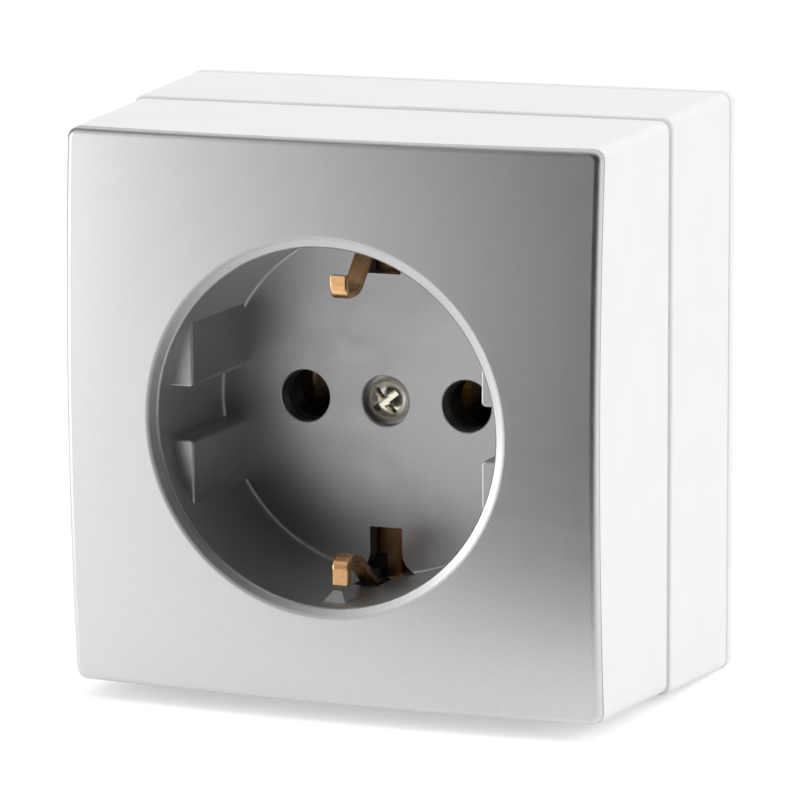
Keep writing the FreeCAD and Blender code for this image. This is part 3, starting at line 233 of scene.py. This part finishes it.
def zinc_steel():
    """Zinc-plated steel of the bracket and the inner screws, with a mottled passivation."""
    recipe = Recipe("zinc_steel")
    recipe.set(Metallic=1.0)
    mottle = recipe.noise(grains_per_mm=1.2, detail=5.0)
    recipe.blend(mottle, first=(0.50, 0.51, 0.53), second=(0.64, 0.65, 0.66))
    recipe.roughen(mottle, low=0.28, high=0.42)
    grain = recipe.noise(grains_per_mm=5.0, detail=2.0)
    recipe.emboss(grain, depth_mm=0.004, strength=0.4)
    return recipe.material


def dress_nodes():
    """Give each solid the material of its slot."""
    looks = {
        "silver_plastic": silver_lacquer(),
        "white_plastic": white_plastic(),
        "black_plastic": black_insert(),
        "bronze": rolled_bronze(),
        "brass": turned_brass(),
        "nickel_screw": nickel_plate(),
        "steel": zinc_steel(),
    }
    for row in frame["record"]["subparts"]:
        node = frame["nodes"][row["node"]]
        for slot in node.material_slots:
            slot.material = looks[row["material_slot"]]


def white_to_the_eye(tree, output, lit, white):
    """Show one shader to the camera, mirrors and glass, and the other to soft light."""
    path = tree.nodes.new("ShaderNodeLightPath")
    seen = path.outputs["Is Camera Ray"]
    for name in ("Is Glossy Ray", "Is Transmission Ray"):
        larger = tree.nodes.new("ShaderNodeMath")
        larger.operation = "MAXIMUM"
        tree.links.new(seen, larger.inputs[0])
        tree.links.new(path.outputs[name], larger.inputs[1])
        seen = larger.outputs["Value"]
    mix = tree.nodes.new("ShaderNodeMixShader")
    tree.links.new(seen, mix.inputs["Fac"])
    tree.links.new(lit, mix.inputs[1])
    tree.links.new(white, mix.inputs[2])
    tree.links.new(mix.outputs["Shader"], output.inputs["Surface"])


def build_world():
    """An even white world: full white where it is seen, a plain level where it lights."""
    world = bpy.data.worlds.new("studio")
    world.use_nodes = True
    world.cycles.sampling_method = "NONE"
    bpy.context.scene.world = world
    tree = world.node_tree
    ambient = tree.nodes["Background"]
    ambient.inputs["Strength"].default_value = AMBIENT_LEVEL
    ambient.inputs["Color"].default_value = WHITE
    white = tree.nodes.new("ShaderNodeBackground")
    white.inputs["Color"].default_value = WHITE
    white.inputs["Strength"].default_value = BACKGROUND_LEVEL
    white_to_the_eye(tree, tree.nodes["World Output"], ambient.outputs[0], white.outputs[0])


def add_sheet(name, corners, faces):
    """A thin sheet of the studio through corners in millimetres."""
    mesh = bpy.data.meshes.new(name)
    mesh.from_pydata([Vector(corner) * MM for corner in corners], [], faces)
    sheet = bpy.data.objects.new(name, mesh)
    bpy.context.scene.collection.objects.link(sheet)
    return sheet


def bare_material(name, sheet):
    """Give a sheet a new material whose shader is still to come, and return its node tree."""
    material = bpy.data.materials.new(name)
    material.use_nodes = True
    tree = material.node_tree
    tree.nodes.remove(tree.nodes["Principled BSDF"])
    sheet.data.materials.append(material)
    return tree


def build_floor():
    """A white floor that keeps the object's shadow."""
    ends = (-FLOOR_REACH, FLOOR_REACH)
    corners = [(x, y, 0) for x in ends for y in ends]
    floor = add_sheet("floor", corners, [(0, 2, 3, 1)])
    tree = bare_material("white_floor", floor)
    paint = tree.nodes.new("ShaderNodeBsdfDiffuse")
    paint.inputs["Color"].default_value = FLOOR_PAINT
    lift = tree.nodes.new("ShaderNodeEmission")
    lift.inputs["Strength"].default_value = FLOOR_LIFT
    lifted = tree.nodes.new("ShaderNodeAddShader")
    tree.links.new(paint.outputs[0], lifted.inputs[0])
    tree.links.new(lift.outputs[0], lifted.inputs[1])
    white_to_the_eye(tree, tree.nodes["Material Output"], paint.outputs[0], lifted.outputs[0])


def add_dark_card(name, corners, faces):
    """A dark card that only shiny surfaces see, as photographers set up before metal."""
    card = add_sheet(name, corners, faces)
    tree = bare_material(name, card)
    glow = tree.nodes.new("ShaderNodeEmission")
    glow.inputs["Strength"].default_value = CARD_LEVEL
    tree.links.new(glow.outputs[0], tree.nodes["Material Output"].inputs["Surface"])
    card.visible_camera = False
    card.visible_diffuse = False
    card.visible_transmission = False
    card.visible_volume_scatter = False
    card.visible_shadow = False


def build_booth():
    """A round dark booth in front of the object, open at the top, and a dark mat on the floor."""
    azimuths = range(BOOTH_START, BOOTH_END + 1, BOOTH_STEP)
    foot = [direction(azimuth, 0) * BOOTH_RADIUS for azimuth in azimuths]
    wall = [point + Vector((0, 0, height)) for point in foot for height in (0, BOOTH_HEIGHT)]
    panels = [(start, start + 2, start + 3, start + 1) for start in range(0, len(wall) - 2, 2)]
    add_dark_card("booth_wall", wall, panels)
    mat = [(*corner, MAT_LIFT) for corner in MAT_OUTLINE]
    add_dark_card("booth_mat", mat, [range(len(mat))])


def add_softbox(name, azimuth, elevation, distance, width, height, level, for_shine):
    """A rectangular lamp that looks at the middle of the object: its level is 1 for white."""
    light = bpy.data.lights.new(name, "AREA")
    light.shape = "RECTANGLE"
    light.size = width * MM
    light.size_y = height * MM
    light.energy = level * math.pi * light.size * light.size_y
    lamp = bpy.data.objects.new(name, light)
    bpy.context.scene.collection.objects.link(lamp)
    lamp.visible_glossy = for_shine
    lamp.visible_diffuse = not for_shine
    aim = Vector(VIEW_TARGET) * MM
    away = direction(azimuth, elevation)
    lamp.location = aim + away * distance * MM
    lamp.rotation_euler = (-away).to_track_quat("-Z", "Y").to_euler()


def build_camera():
    """The photograph's camera: a long lens, a little above and to the right."""
    data = bpy.data.cameras.new("camera")
    data.lens = FOCAL_LENGTH
    data.sensor_width = SENSOR_WIDTH
    data.clip_start = CLIP_START * MM
    data.clip_end = CLIP_END * MM
    camera = bpy.data.objects.new("camera", data)
    bpy.context.scene.collection.objects.link(camera)
    away = direction(VIEW_AZIMUTH, VIEW_ELEVATION)
    camera.location = (Vector(VIEW_TARGET) + away * VIEW_DISTANCE) * MM
    level = (-away).to_track_quat("-Z", "Y")
    tilt = Quaternion((0, 0, 1), math.radians(VIEW_ROLL))
    camera.rotation_mode = "QUATERNION"
    camera.rotation_quaternion = level @ tilt
    bpy.context.scene.camera = camera


bpy.context.scene.view_settings.view_transform = "Standard"
dress_nodes()
build_world()
build_floor()
build_booth()
for softbox in SOFTBOXES:
    add_softbox(*softbox)
build_camera()
